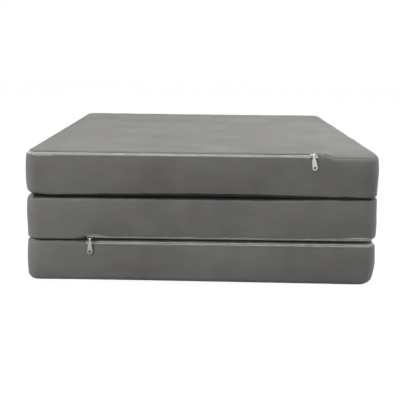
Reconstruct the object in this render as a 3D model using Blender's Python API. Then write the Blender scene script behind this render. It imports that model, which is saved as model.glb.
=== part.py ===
"""Folding mattress: three zip-off covered foam sections stacked in a Z fold.

Metres, +Z up, front towards -Y. The origin is on the floor under the middle of the stack.
Each section has a foam core, a cover of two crowned panels and a border, and an L-shaped
coil zip let into one edge of the border. Two cloth strips hinge the sections together.
"""

import math

import bmesh
import bpy
from mathutils import Matrix, Vector

# Driving sizes of one section, over its cover.
SECTION_WIDTH = 0.635
SECTION_DEPTH = 0.635
EDGE_HEIGHT = 0.078
PLAN_CORNER_RADIUS = 0.025
EDGE_RADIUS = 0.010
FACE_CROWN = 0.0012
CROWN_RUN = 0.150
SIDE_BULGE = 0.0010
CLOTH = 0.0012
SEAM_GAP = 0.0003

# Foam core inside the cover.
FOAM_EASE = 0.0004
FOAM_EDGE_RADIUS = 0.018

# Stack and hinge strips.
STACK_GAP = 0.0005
STRIP_THICKNESS = 0.0012
STRIP_END_MARGIN = 0.016
STRIP_CLEARANCE = 0.0003
STRIP_LEAF_GAP = 0.0003

# How far each zip's slot stops short of the section's corner, on the front and on the side.
TOP_ZIP_SETBACK = 0.1085
LOWER_ZIP_SETBACK = 0.1046
SIDE_ZIP_SETBACK = 0.0555
SLOT_TAPER = 0.006

# Zip, measured from the centre of the edge's rounding: heights point out of the slot.
FIT_CLEARANCE = 0.0003
SLOT_SIDE_CLEARANCE = 0.0006
TAPE_THICKNESS = 0.0006
TAPE_INNER_EDGE = 0.0013
TAPE_SEAM_WIDTH = 0.0041
TAPE_OVERLAP = 0.007
COIL_HEIGHT = 0.0020
COIL_WIDTH = 0.0026
COIL_PARTING = 0.0003
PLATE_THICKNESS = 0.0010
FLANGE_THICKNESS = 0.00075
SLIDER_LENGTH = 0.0115
SLIDER_FLARE = 0.0007
SLIDER_TAIL = 0.0030
DIAMOND_LENGTH = 0.0034
DIAMOND_WIDTH = 0.0020
DIAMOND_SETBACK = 0.0004
STOP_LENGTH = 0.0030
STOP_WALL = 0.0009
STOP_WIDTH = 0.0021
STOP_PARTING = 0.0008
ZIP_END_MARGIN = 0.004

# Crown bar of the slider and the pull that hangs on it.
CROWN_BAR_RADIUS = 0.0007
CROWN_BAR_SPAN = 0.0075
CROWN_BEND = 0.0010
KNUCKLE_WALL = 0.0010
KNUCKLE_WIDTH = 0.0026
PULL_THICKNESS = 0.0012
PULL_LENGTH = 0.0275
PULL_TOP_WIDTH = 0.0064
PULL_TIP_WIDTH = 0.0094
PULL_HOLE_RADIUS = 0.0024
PULL_HOLE_RIM = 0.0023
PULL_NECK_DROP = 0.0034
PULL_SHOULDER_DROP = 0.0085
PULL_EMBED = 0.0004

# How finely the round shapes are divided.
CORNER_STEPS = 6
EDGE_STEPS = 3
ROUND_SIDES = 16
BAR_SIDES = 8
STRIP_STEPS = 8

SLOT_TILT = math.radians(45)
TOP_PULL_LEAN = math.radians(9)
CUT_OVERRUN = 0.0005

# Sizes that follow from the ones above.
HALF_WIDTH = SECTION_WIDTH / 2
HALF_DEPTH = SECTION_DEPTH / 2
HALF_EDGE = EDGE_HEIGHT / 2
EDGE_INSET = SIDE_BULGE + EDGE_RADIUS
FOAM_INSET = SIDE_BULGE + CLOTH + FOAM_EASE
FACE_START = FOAM_INSET + FOAM_EDGE_RADIUS
PITCH = EDGE_HEIGHT + 2 * FACE_CROWN + STACK_GAP
HALF_EDGE_GAP = (PITCH - EDGE_HEIGHT) / 2
INNER_RADIUS = EDGE_RADIUS - CLOTH

TAPE_UNDER_CLOTH = INNER_RADIUS - FIT_CLEARANCE
TAPE_TOP = math.sqrt(TAPE_UNDER_CLOTH ** 2 - (TAPE_SEAM_WIDTH + FIT_CLEARANCE) ** 2)
TAPE_BOTTOM = TAPE_TOP - TAPE_THICKNESS
COIL_BOTTOM = TAPE_TOP + FIT_CLEARANCE
COIL_TOP = COIL_BOTTOM + COIL_HEIGHT
COIL_INNER = COIL_PARTING / 2
COIL_OUTER = COIL_INNER + COIL_WIDTH
FLANGE_INNER = COIL_OUTER + FIT_CLEARANCE
FLANGE_OUTER = FLANGE_INNER + FLANGE_THICKNESS
TOP_PLATE_LOW = COIL_TOP + FIT_CLEARANCE
TOP_PLATE_HIGH = TOP_PLATE_LOW + PLATE_THICKNESS
LOW_PLATE_HIGH = TAPE_BOTTOM - FIT_CLEARANCE
LOW_PLATE_LOW = LOW_PLATE_HIGH - PLATE_THICKNESS
SLOT_HALF_ANGLE = math.asin((FLANGE_OUTER + SLOT_SIDE_CLEARANCE) / INNER_RADIUS)
SEAM_HALF_ANGLE = SEAM_GAP / 2 / EDGE_RADIUS
KNUCKLE_BORE = CROWN_BAR_RADIUS + FIT_CLEARANCE
KNUCKLE_RADIUS = KNUCKLE_BORE + KNUCKLE_WALL
CROWN_BAR_HEIGHT = TOP_PLATE_HIGH + FIT_CLEARANCE + KNUCKLE_RADIUS

# The crown bar's axis, measured in from the widest plane, and the pull's middle out from it.
BAR_INSET = EDGE_INSET - CROWN_BAR_HEIGHT * math.cos(SLOT_TILT)
PULL_OFFSET = BAR_INSET + FIT_CLEARANCE + PULL_THICKNESS / 2

COLOURS = {
    "cloth": ((0.112, 0.109, 0.102, 1.0), 0.92, 0.0),
    "foam": ((0.86, 0.85, 0.78, 1.0), 0.95, 0.0),
    "tape": ((0.36, 0.36, 0.34, 1.0), 0.85, 0.0),
    "coil": ((0.48, 0.48, 0.46, 1.0), 0.45, 0.0),
    "metal": ((0.72, 0.72, 0.71, 1.0), 0.28, 1.0),
}


def clear_scene():
    """Remove every object that the file opened with."""
    for thing in list(bpy.data.objects):
        bpy.data.objects.remove(thing, do_unlink=True)


def material(finish):
    """Return the Principled material of one finish, made once."""
    if finish in bpy.data.materials:
        return bpy.data.materials[finish]
    made = bpy.data.materials.new(finish)
    made.use_nodes = True
    colour, roughness, metallic = COLOURS[finish]
    shader = made.node_tree.nodes["Principled BSDF"]
    shader.inputs["Base Color"].default_value = colour
    shader.inputs["Roughness"].default_value = roughness
    shader.inputs["Metallic"].default_value = metallic
    made.diffuse_color = colour
    return made


def finish_mesh(name, bm, finish, pivot=None, smooth_angle=40):
    """Turn a closed bmesh into a named object whose origin is at its pivot."""
    bmesh.ops.recalc_face_normals(bm, faces=bm.faces)
    origin = Vector(pivot) if pivot else Vector((0, 0, 0))
    bmesh.ops.translate(bm, verts=bm.verts, vec=-origin)
    mesh = bpy.data.meshes.new(name)
    bm.to_mesh(mesh)
    bm.free()
    mesh.shade_smooth()
    mesh.set_sharp_from_angle(angle=math.radians(smooth_angle))
    mesh.materials.append(material(finish))
    made = bpy.data.objects.new(name, mesh)
    made.location = origin
    bpy.context.scene.collection.objects.link(made)
    return made


def skin_rings(rings, joined=False):
    """Skin closed rings of equal count, either joined last to first or capped at both ends."""
    bm = bmesh.new()
    rows = [[bm.verts.new(point) for point in ring] for ring in rings]
    pairs = list(zip(rows, rows[1:]))
    if joined:
        pairs.append((rows[-1], rows[0]))
    for low, high in pairs:
        for k in range(len(low)):
            n = (k + 1) % len(low)
            bm.faces.new((low[k], low[n], high[n], high[k]))
    if not joined:
        bm.faces.new(rows[0])
        bm.faces.new(rows[-1])
    return bm


def extrude_outline(points, direction):
    """Return a prism: a flat outline pulled along a direction."""
    bm = bmesh.new()
    face = bm.faces.new([bm.verts.new(p) for p in points])
    pulled = bmesh.ops.extrude_face_region(bm, geom=[face])
    moved = [g for g in pulled["geom"] if isinstance(g, bmesh.types.BMVert)]
    bmesh.ops.translate(bm, verts=moved, vec=direction)
    bmesh.ops.recalc_face_normals(bm, faces=bm.faces)
    return bm


def combine(base, others, operation):
    """Join or cut bmeshes with exact Booleans and return the result as a bmesh."""
    temp = []
    for bm in [base] + others:
        bmesh.ops.recalc_face_normals(bm, faces=bm.faces)
        mesh = bpy.data.meshes.new("work")
        bm.to_mesh(mesh)
        bm.free()
        thing = bpy.data.objects.new("work", mesh)
        bpy.context.scene.collection.objects.link(thing)
        temp.append(thing)
    for other in temp[1:]:
        step = temp[0].modifiers.new("step", "BOOLEAN")
        step.operation = operation
        step.solver = "EXACT"
        step.object = other
    bpy.context.view_layer.update()
    graph = bpy.context.evaluated_depsgraph_get()
    result = bmesh.new()
    result.from_mesh(temp[0].evaluated_get(graph).to_mesh())
    for thing in temp:
        bpy.data.objects.remove(thing, do_unlink=True)
    return result


class Section:
    """Places one section's shapes: its height, which way up it lies and its zip's hand."""

    def __init__(self, name, level, up, hand, plain_crown, setback, closed_at, lean=0):
        self.name = name
        self.middle = HALF_EDGE + level * PITCH
        self.up = up
        self.hand = hand
        self.plain_crown = plain_crown
        self.setback = setback
        self.closed_at = closed_at
        self.lean = lean

    def place(self, station, inset, height):
        """World point at an inset from the widest plane and a height towards the zip panel."""
        x, y = plan_point(station, inset)
        return Vector((self.hand * x, y, self.middle + self.up * height))

    def slot_ends(self):
        """Full-width stretch of the slot: its x on the front edge and its y on the side."""
        return self.setback - HALF_WIDTH, HALF_DEPTH - SIDE_ZIP_SETBACK


def front_station(x):
    """Outline station on the straight front edge."""
    return (x, PLAN_CORNER_RADIUS - HALF_DEPTH, 0, -1)


def side_station(y):
    """Outline station on the straight edge of the zipped side."""
    return (HALF_WIDTH - PLAN_CORNER_RADIUS, y, 1, 0)


def corner_stations(side, face):
    """Stations round one plan corner, anticlockwise seen from above."""
    start = {(1, -1): -90, (1, 1): 0, (-1, 1): 90, (-1, -1): 180}[(side, face)]
    centre = (side * (HALF_WIDTH - PLAN_CORNER_RADIUS), face * (HALF_DEPTH - PLAN_CORNER_RADIUS))
    found = []
    for k in range(CORNER_STEPS + 1):
        angle = math.radians(start + 90 * k / CORNER_STEPS)
        found.append((*centre, math.cos(angle), math.sin(angle)))
    return found


def plan_point(station, inset):
    """Plan position of a station at an inset, drawn in evenly past the edge rounding."""
    x, y, out_x, out_y = station
    near = min(inset, FACE_START)
    px = x + out_x * (PLAN_CORNER_RADIUS - near)
    py = y + out_y * (PLAN_CORNER_RADIUS - near)
    if inset > near:
        px *= (HALF_WIDTH - inset) / (HALF_WIDTH - near)
        py *= (HALF_DEPTH - inset) / (HALF_DEPTH - near)
    return px, py


def cover_outline(section):
    """Stations round the cover, each with the half angle of the opening at its zip edge."""
    x_open, y_open = section.slot_ends()
    open_angle = SLOT_HALF_ANGLE
    shut = SEAM_HALF_ANGLE
    found = [
        (front_station(x_open - SLOT_TAPER), shut),
        (front_station(x_open), open_angle),
    ]
    found += [(s, open_angle) for s in corner_stations(1, -1)]
    found += [(side_station(y_open), open_angle), (side_station(y_open + SLOT_TAPER), shut)]
    for side, face in ((1, 1), (-1, 1), (-1, -1)):
        found += [(s, shut) for s in corner_stations(side, face)]
    return found


def edge_point(angle, radius, edge):
    """Inset and height on the rounding: angle 0 faces out of the wall, 90 out of the face."""
    return EDGE_INSET - radius * math.cos(angle), edge + radius * math.sin(angle)


def crown_height(inset, crown):
    """How far a face stands above its edge plane at an inset."""
    share = (inset - EDGE_INSET) / (CROWN_RUN - EDGE_INSET)
    return crown * math.sin(math.pi / 2 * min(max(share, 0), 1))


def wall_inset(height):
    """Inset of the bulged wall at a height from the section's middle."""
    share = height / (HALF_EDGE - EDGE_RADIUS)
    return SIDE_BULGE * share ** 2


def panel_profile(opening, crown):
    """Profile of a crowned panel, from its middle under the cloth out to the rim and back."""
    edge = HALF_EDGE - EDGE_RADIUS
    rim = SLOT_TILT + opening
    insets = [CROWN_RUN, (CROWN_RUN + EDGE_INSET) / 2, FACE_START]
    under = [(i, HALF_EDGE + crown_height(i, crown) - CLOTH) for i in insets]
    over = [(i, HALF_EDGE + crown_height(i, crown)) for i in reversed(insets)]
    angles = [math.pi / 2 + (rim - math.pi / 2) * k / EDGE_STEPS for k in range(EDGE_STEPS + 1)]
    under += [edge_point(a, INNER_RADIUS, edge) for a in angles]
    over = [edge_point(a, EDGE_RADIUS, edge) for a in reversed(angles)] + over
    return under + over


def border_profile(opening):
    """Profile of the border wall, from the zip edge down its outside and back up inside."""
    edge = HALF_EDGE - EDGE_RADIUS
    zip_rim = SLOT_TILT - opening
    seam_rim = SLOT_TILT - SEAM_HALF_ANGLE
    outer = []
    inner = []
    for k in range(EDGE_STEPS + 1):
        angle = zip_rim * (1 - k / EDGE_STEPS)
        outer.append(edge_point(angle, EDGE_RADIUS, edge))
        inner.append(edge_point(angle, INNER_RADIUS, edge))
    for share in (0.5, 0, -0.5):
        height = share * edge
        outer.append((wall_inset(height), height))
        inner.append((wall_inset(height) + CLOTH, height))
    for k in range(EDGE_STEPS + 1):
        inset, height = edge_point(seam_rim * k / EDGE_STEPS, EDGE_RADIUS, edge)
        outer.append((inset, -height))
        inset, height = edge_point(seam_rim * k / EDGE_STEPS, INNER_RADIUS, edge)
        inner.append((inset, -height))
    return outer + inner[::-1]


def foam_profile(plain_crown):
    """Profile of the foam core, from the middle of its zip face round to the other face."""
    gap = CLOTH + FOAM_EASE
    arc = HALF_EDGE - gap - FOAM_EDGE_RADIUS
    profile = [(CROWN_RUN, HALF_EDGE - gap + FACE_CROWN)]
    middle = (CROWN_RUN + EDGE_INSET) / 2
    profile.append((middle, HALF_EDGE - gap + crown_height(middle, FACE_CROWN)))
    turn = [math.pi / 2 * k / (EDGE_STEPS + 1) for k in range(EDGE_STEPS + 2)]
    for angle in reversed(turn):
        inset = FACE_START - FOAM_EDGE_RADIUS * math.cos(angle)
        profile.append((inset, arc + FOAM_EDGE_RADIUS * math.sin(angle)))
    for angle in turn:
        inset = FACE_START - FOAM_EDGE_RADIUS * math.cos(angle)
        profile.append((inset, -arc - FOAM_EDGE_RADIUS * math.sin(angle)))
    profile.append((middle, gap - HALF_EDGE - crown_height(middle, plain_crown)))
    profile.append((CROWN_RUN, gap - HALF_EDGE - plain_crown))
    return profile


def skin_outline(section, outline, profiles, joined=False, flip=1):
    """Skin one profile per station round the whole outline."""
    rings = []
    for k in range(len(profiles[0])):
        ring = []
        for (station, _), profile in zip(outline, profiles):
            inset, height = profile[k]
            ring.append(section.place(station, inset, flip * height))
        rings.append(ring)
    return skin_rings(rings, joined)


def make_cushion(section):
    """Foam core, two crowned panels and the border of one section."""
    outline = cover_outline(section)
    seam = [SEAM_HALF_ANGLE for _ in outline]
    openings = [opening for _, opening in outline]
    name = section.name

    foam = [foam_profile(section.plain_crown) for _ in outline]
    finish_mesh(name + "_foam_core", skin_outline(section, outline, foam), "foam")

    top = [panel_profile(opening, FACE_CROWN) for opening in openings]
    finish_mesh(name + "_cover_zip_panel", skin_outline(section, outline, top), "cloth")

    plain = [panel_profile(opening, section.plain_crown) for opening in seam]
    bm = skin_outline(section, outline, plain, flip=-1)
    finish_mesh(name + "_cover_plain_panel", bm, "cloth")

    wall = [border_profile(opening) for opening in openings]
    bm = skin_outline(section, outline, wall, joined=True)
    finish_mesh(name + "_cover_border", bm, "cloth")


def zip_point(section, station, across, height):
    """World point in the slot: across towards the panel, height out from the edge's centre."""
    inset = EDGE_INSET - height * math.cos(SLOT_TILT) + across * math.sin(SLOT_TILT)
    level = HALF_EDGE - EDGE_RADIUS + height * math.sin(SLOT_TILT) + across * math.cos(SLOT_TILT)
    return section.place(station, inset, level)


def sweep_zip(section, shape, start_by, end_by):
    """Sweep a shape of (across, height) points along the L, trimmed in from both slot ends."""
    x_open, y_open = section.slot_ends()
    stations = [front_station(x_open + start_by)]
    stations += corner_stations(1, -1)
    stations.append(side_station(y_open - end_by))
    rings = [[zip_point(section, s, a, h) for a, h in shape] for s in stations]
    return skin_rings(rings)


def tape_shape(side):
    """Woven tape of one half: flat beside the coil, then tucked under the cloth."""
    reach = SLOT_TILT + (TAPE_OVERLAP - TAPE_SEAM_WIDTH) / EDGE_RADIUS / 2
    upper = [(TAPE_INNER_EDGE, TAPE_TOP)]
    lower = [(TAPE_INNER_EDGE, TAPE_BOTTOM)]
    turn = math.asin((TAPE_SEAM_WIDTH + FIT_CLEARANCE) / TAPE_UNDER_CLOTH)
    under = TAPE_UNDER_CLOTH - TAPE_THICKNESS
    for k in range(EDGE_STEPS):
        angle = turn + (reach - turn) * k / (EDGE_STEPS - 1)
        upper.append((TAPE_UNDER_CLOTH * math.sin(angle), TAPE_UNDER_CLOTH * math.cos(angle)))
        lower.append((under * math.sin(angle), under * math.cos(angle)))
    shape = upper + lower[::-1]
    return [(side * a, h) for a, h in shape]


def coil_shape(side):
    """One half of the closed coil as an eight-sided bar."""
    cut = COIL_HEIGHT / 4
    shape = [
        (COIL_INNER, COIL_BOTTOM + cut),
        (COIL_INNER + cut, COIL_BOTTOM),
        (COIL_OUTER - cut, COIL_BOTTOM),
        (COIL_OUTER, COIL_BOTTOM + cut),
        (COIL_OUTER, COIL_TOP - cut),
        (COIL_OUTER - cut, COIL_TOP),
        (COIL_INNER + cut, COIL_TOP),
        (COIL_INNER, COIL_TOP - cut),
    ]
    return [(side * a, h) for a, h in shape]


def closed_end_trims(section, at_closed, at_far):
    """Order two trims as (front end, side end) of the slot."""
    if section.closed_at == "front":
        return at_closed, at_far
    return at_far, at_closed


class ZipFrame:
    """Local frame at the closed end of a zip: along points down the chain from that end."""

    def __init__(self, section):
        x_open, y_open = section.slot_ends()
        tilt = math.cos(SLOT_TILT)
        lift = section.up * math.sin(SLOT_TILT)
        if section.closed_at == "front":
            station = front_station(x_open)
            self.along = Vector((section.hand, 0, 0))
            self.outward = Vector((0, -1, 0))
        else:
            station = side_station(y_open)
            self.along = Vector((0, -1, 0))
            self.outward = Vector((section.hand, 0, 0))
        self.origin = section.place(station, EDGE_INSET, HALF_EDGE - EDGE_RADIUS)
        self.height = self.outward * tilt + Vector((0, 0, lift))
        self.across = Vector((0, 0, section.up * tilt)) - self.outward * math.sin(SLOT_TILT)

    def point(self, along, across, height):
        """World point from distances down the chain, across it and out of the slot."""
        return self.origin + self.along * along + self.across * across + self.height * height

    def prism(self, outline, low, high):
        """Plate with an outline of (along, across) points between two heights."""
        points = [self.point(q, w, low) for q, w in outline]
        return extrude_outline(points, self.height * (high - low))

    def bar(self, shape, start, length):
        """Bar with a shape of (across, height) points, pulled down the chain."""
        points = [self.point(start, w, n) for w, n in shape]
        return extrude_outline(points, self.along * length)


def slider_start():
    """Distance from the slot's closed end to the slider's leading edge."""
    return ZIP_END_MARGIN + STOP_LENGTH + FIT_CLEARANCE


def plate_outline(flare):
    """Shield outline of a slider plate: flared at the lead, narrow at the tail."""
    lead = slider_start()
    nose = SLIDER_LENGTH / 8
    waist = SLIDER_LENGTH / 2
    half = [
        (lead, FLANGE_OUTER - flare),
        (lead + nose, FLANGE_OUTER + flare),
        (lead + waist - nose, FLANGE_OUTER + flare),
        (lead + waist + nose, FLANGE_OUTER),
        (lead + SLIDER_LENGTH - nose / 2, FLANGE_OUTER),
        (lead + SLIDER_LENGTH, SLIDER_TAIL),
    ]
    return half + [(q, -w) for q, w in reversed(half)]


def slider_bmesh(frame):
    """Slider body: two plates, the diamond between them, two flanges and the crown bar."""
    lead = slider_start()
    upper = frame.prism(plate_outline(SLIDER_FLARE), TOP_PLATE_LOW, TOP_PLATE_HIGH)
    lower = frame.prism(plate_outline(0), LOW_PLATE_LOW, LOW_PLATE_HIGH)

    tip = lead + DIAMOND_SETBACK
    belly = tip + DIAMOND_LENGTH / 2
    diamond = [
        (tip, 0),
        (belly, DIAMOND_WIDTH / 2),
        (tip + DIAMOND_LENGTH, 0),
        (belly, -DIAMOND_WIDTH / 2),
    ]
    post_low = LOW_PLATE_HIGH - PULL_EMBED
    post = frame.prism(diamond, post_low, TOP_PLATE_LOW + PULL_EMBED)

    parts = [lower, post]
    flange_start = lead + SLIDER_LENGTH / 8
    flange_end = lead + SLIDER_LENGTH - SLIDER_LENGTH / 16
    for side in (1, -1):
        inner = side * FLANGE_INNER
        outer = side * (FLANGE_OUTER - CUT_OVERRUN / 10)
        rail = [(flange_start, inner), (flange_start, outer), (flange_end, outer), (flange_end, inner)]
        parts.append(frame.prism(rail, COIL_BOTTOM, TOP_PLATE_LOW + PULL_EMBED))
    parts.append(crown_bar(frame))
    return combine(upper, parts, "UNION")


def crown_bar(frame):
    """Round bar over the slider's top plate, bent down into the plate at both ends."""
    centre = slider_start() + SLIDER_LENGTH / 2
    reach = CROWN_BAR_SPAN / 2
    foot = TOP_PLATE_HIGH - PULL_EMBED
    path = [
        (centre - reach - CROWN_BEND / 4, foot),
        (centre - reach, CROWN_BAR_HEIGHT - CROWN_BEND),
        (centre - reach + CROWN_BEND, CROWN_BAR_HEIGHT),
        (centre + reach - CROWN_BEND, CROWN_BAR_HEIGHT),
        (centre + reach, CROWN_BAR_HEIGHT - CROWN_BEND),
        (centre + reach + CROWN_BEND / 4, foot),
    ]
    rings = []
    for k, (q, n) in enumerate(path):
        before = Vector(path[max(k - 1, 0)])
        after = Vector(path[min(k + 1, len(path) - 1)])
        run = (after - before).normalized()
        ring = []
        for step in range(BAR_SIDES):
            angle = math.tau * (step + 0.5) / BAR_SIDES
            side = CROWN_BAR_RADIUS * math.cos(angle)
            rise = CROWN_BAR_RADIUS * math.sin(angle)
            ring.append(frame.point(q - run.y * rise, side, n + run.x * rise))
        rings.append(ring)
    return skin_rings(rings)


def pull_bmesh(frame, axis_point, lean):
    """Hanging pull: a knuckle round the crown bar, a neck and a blade that leans sideways."""

    def at(along, out, rise):
        """World point from distances along the bar, outwards and up from the bar's axis."""
        return axis_point + frame.along * along + frame.outward * out + Vector((0, 0, rise))

    def on_blade(along, out, rise):
        """World point of the blade, turned sideways about the foot of the neck."""
        drop = rise + PULL_NECK_DROP
        turned = along * math.cos(lean) + drop * math.sin(lean)
        return at(turned, out, drop * math.cos(lean) - along * math.sin(lean) - PULL_NECK_DROP)

    half = KNUCKLE_WIDTH / 2

    def round_bar(radius, centre_along, centre_out, centre_rise, length):
        """Cylinder along the bar's axis."""
        points = []
        for step in range(ROUND_SIDES):
            angle = math.tau * step / ROUND_SIDES
            out = centre_out + radius * math.cos(angle)
            points.append(at(centre_along - length / 2, out, centre_rise + radius * math.sin(angle)))
        return extrude_outline(points, frame.along * length)

    back = PULL_OFFSET - PULL_THICKNESS / 2
    face = PULL_OFFSET + PULL_THICKNESS / 2
    neck = [
        (KNUCKLE_BORE + PULL_EMBED / 2, -PULL_EMBED),
        (KNUCKLE_RADIUS - PULL_EMBED / 4, PULL_EMBED),
        (face, PULL_THICKNESS / 2 - PULL_NECK_DROP),
        (face, -PULL_NECK_DROP - PULL_THICKNESS),
        (back, -PULL_NECK_DROP - PULL_THICKNESS),
        (back, -PULL_NECK_DROP),
    ]
    bent = extrude_outline([at(-half, o, r) for o, r in neck], frame.along * KNUCKLE_WIDTH)

    tip = PULL_TIP_WIDTH / 2
    shoulder = PULL_TOP_WIDTH / 2
    blade = [(half, -PULL_NECK_DROP), (shoulder, -PULL_SHOULDER_DROP)]
    for step in range(ROUND_SIDES // 2 + 1):
        angle = math.pi * step / (ROUND_SIDES // 2)
        blade.append((tip * math.cos(angle), tip - PULL_LENGTH - tip * math.sin(angle)))
    blade += [(-shoulder, -PULL_SHOULDER_DROP), (-half, -PULL_NECK_DROP)]
    tab = extrude_outline([on_blade(a, back, r) for a, r in blade], frame.outward * PULL_THICKNESS)

    knuckle = round_bar(KNUCKLE_RADIUS, 0, 0, 0, KNUCKLE_WIDTH)
    body = combine(knuckle, [bent, tab], "UNION")

    bore = round_bar(KNUCKLE_BORE, 0, 0, 0, KNUCKLE_WIDTH + 2 * CUT_OVERRUN)
    hole_centre = PULL_HOLE_RIM + PULL_HOLE_RADIUS - PULL_LENGTH
    ring = []
    for step in range(ROUND_SIDES):
        angle = math.tau * (step + 0.5) / ROUND_SIDES
        along = PULL_HOLE_RADIUS * math.cos(angle)
        rise = hole_centre + PULL_HOLE_RADIUS * math.sin(angle)
        ring.append(on_blade(along, back - CUT_OVERRUN, rise))
    hole = extrude_outline(ring, frame.outward * (PULL_THICKNESS + 2 * CUT_OVERRUN))
    return combine(body, [bore, hole], "DIFFERENCE")


def stop_shape(side):
    """Crimped stop round the inner edge of one tape."""
    inner = STOP_PARTING / 2
    outer = inner + STOP_WIDTH
    throat = TAPE_INNER_EDGE - FIT_CLEARANCE
    low = TAPE_BOTTOM - FIT_CLEARANCE
    high = TAPE_TOP + FIT_CLEARANCE
    shape = [
        (inner, low - STOP_WALL),
        (outer, low - STOP_WALL),
        (outer, low),
        (throat, low),
        (throat, high),
        (outer, high),
        (outer, high + STOP_WALL),
        (inner, high + STOP_WALL),
    ]
    return [(side * a, h) for a, h in shape]


def end_stop_shape():
    """Crimped stop that joins both tapes at the far end of the chain."""
    right = stop_shape(1)
    web = TAPE_INNER_EDGE - FIT_CLEARANCE
    outer = STOP_PARTING / 2 + STOP_WIDTH
    low, high = right[2][1], right[4][1]
    half = [
        (outer, low - STOP_WALL),
        (outer, low),
        (web, low),
        (web, high),
        (outer, high),
        (outer, high + STOP_WALL),
    ]
    return half + [(-a, h) for a, h in reversed(half)]


def make_zip(section):
    """Tapes, coil halves, slider, pull and stops of one section's zip."""
    name = section.name
    frame = ZipFrame(section)
    lead = slider_start()
    coil_from = lead + DIAMOND_SETBACK + DIAMOND_LENGTH + FIT_CLEARANCE
    coil_to = ZIP_END_MARGIN + STOP_LENGTH + FIT_CLEARANCE
    tucked = -SLOT_TAPER - TAPE_SEAM_WIDTH

    for side, label in ((1, "panel_side"), (-1, "border_side")):
        bm = sweep_zip(section, tape_shape(side), tucked, tucked)
        finish_mesh(f"{name}_zip_tape_{label}", bm, "tape")
        bm = sweep_zip(section, coil_shape(side), *closed_end_trims(section, coil_from, coil_to))
        finish_mesh(f"{name}_zip_coil_{label}", bm, "coil")
        bm = frame.bar(stop_shape(side), ZIP_END_MARGIN, STOP_LENGTH)
        finish_mesh(f"{name}_zip_stop_{label}", bm, "metal", smooth_angle=30)

    bm = far_stop_bmesh(section)
    finish_mesh(f"{name}_zip_end_stop", bm, "metal", smooth_angle=30)

    axis_point = frame.point(lead + SLIDER_LENGTH / 2, 0, CROWN_BAR_HEIGHT)
    slider = finish_mesh(f"{name}_zip_slider", slider_bmesh(frame), "metal", axis_point, 30)
    tab = pull_bmesh(frame, axis_point, section.lean)
    pull = finish_mesh(f"{name}_zip_pull", tab, "metal", axis_point, 30)
    pull.parent = slider
    pull.matrix_parent_inverse = Matrix.Translation(-slider.location)


def far_stop_bmesh(section):
    """End stop at the end of the slot that is away from the slider."""
    x_open, y_open = section.slot_ends()
    if section.closed_at == "front":
        near = y_open - ZIP_END_MARGIN
        stations = [side_station(near - STOP_LENGTH), side_station(near)]
    else:
        near = x_open + ZIP_END_MARGIN
        stations = [front_station(near), front_station(near + STOP_LENGTH)]
    rings = [[zip_point(section, s, a, h) for a, h in end_stop_shape()] for s in stations]
    return skin_rings(rings)


def make_hinge_strip(name, level, face):
    """Cloth strip sewn to two sections along one edge and folded into the groove between them."""
    gap_middle = HALF_EDGE + level * PITCH + PITCH / 2
    rise = HALF_EDGE_GAP + EDGE_RADIUS
    over = EDGE_RADIUS + STRIP_CLEARANCE
    under = over + STRIP_THICKNESS
    fold = math.asin((rise - STRIP_LEAF_GAP / 2) / under)
    covered = []
    free = []
    for k in range(STRIP_STEPS + 1):
        angle = SLOT_TILT + (fold - SLOT_TILT) * k / STRIP_STEPS
        for side, radius in ((covered, over), (free, under)):
            side.append((EDGE_INSET - radius * math.cos(angle), rise - radius * math.sin(angle)))
    tip = (covered[-1][0] + STRIP_THICKNESS, 0)
    low_covered = [(i, -r) for i, r in reversed(covered)]
    low_free = [(i, -r) for i, r in free]
    shape = covered + [tip] + low_covered + low_free + free[::-1]
    reach = HALF_WIDTH - STRIP_END_MARGIN
    rings = []
    for x in (-reach, reach):
        rings.append([Vector((x, face * (HALF_DEPTH - i), gap_middle + r)) for i, r in shape])
    finish_mesh(name, skin_rings(rings), "cloth")


def main():
    """Build the three sections, bottom to top, and the strips that hinge them."""
    clear_scene()
    sections = [
        Section("bottom", 0, 1, 1, 0, LOWER_ZIP_SETBACK, "side"),
        Section("middle", 1, -1, 1, FACE_CROWN, LOWER_ZIP_SETBACK, "front"),
        Section("top", 2, 1, -1, FACE_CROWN, TOP_ZIP_SETBACK, "front", TOP_PULL_LEAN),
    ]
    for section in sections:
        make_cushion(section)
        make_zip(section)
    make_hinge_strip("hinge_strip_back", 0, 1)
    make_hinge_strip("hinge_strip_front", 1, -1)


main()
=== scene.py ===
"""Looks of a folded three-section foam mattress with zip-off covers."""
import logging
import math
from dataclasses import dataclass, field
from enum import Enum

import bmesh
import bpy
import numpy as np
from mathutils import Matrix, Vector, noise


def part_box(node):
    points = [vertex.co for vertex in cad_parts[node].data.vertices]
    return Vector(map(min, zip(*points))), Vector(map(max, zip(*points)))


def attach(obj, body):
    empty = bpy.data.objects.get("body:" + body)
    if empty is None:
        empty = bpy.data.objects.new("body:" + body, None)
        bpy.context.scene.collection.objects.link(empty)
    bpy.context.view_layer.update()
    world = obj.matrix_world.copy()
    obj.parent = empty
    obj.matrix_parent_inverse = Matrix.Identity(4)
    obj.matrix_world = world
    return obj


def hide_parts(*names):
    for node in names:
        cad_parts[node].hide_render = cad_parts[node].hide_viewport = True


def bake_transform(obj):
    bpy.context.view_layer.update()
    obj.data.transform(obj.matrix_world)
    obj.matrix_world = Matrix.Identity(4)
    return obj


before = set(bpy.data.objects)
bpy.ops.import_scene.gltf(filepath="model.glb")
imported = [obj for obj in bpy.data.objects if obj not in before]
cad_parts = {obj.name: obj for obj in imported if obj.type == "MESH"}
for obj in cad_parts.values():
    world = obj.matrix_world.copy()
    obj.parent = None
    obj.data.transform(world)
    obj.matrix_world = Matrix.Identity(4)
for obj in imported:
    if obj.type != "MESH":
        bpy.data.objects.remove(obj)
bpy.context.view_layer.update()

LOG = logging.getLogger("folding_mattress")
TINY = 1e-6
WHITE = (1.0, 1.0, 1.0, 1.0)

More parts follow.
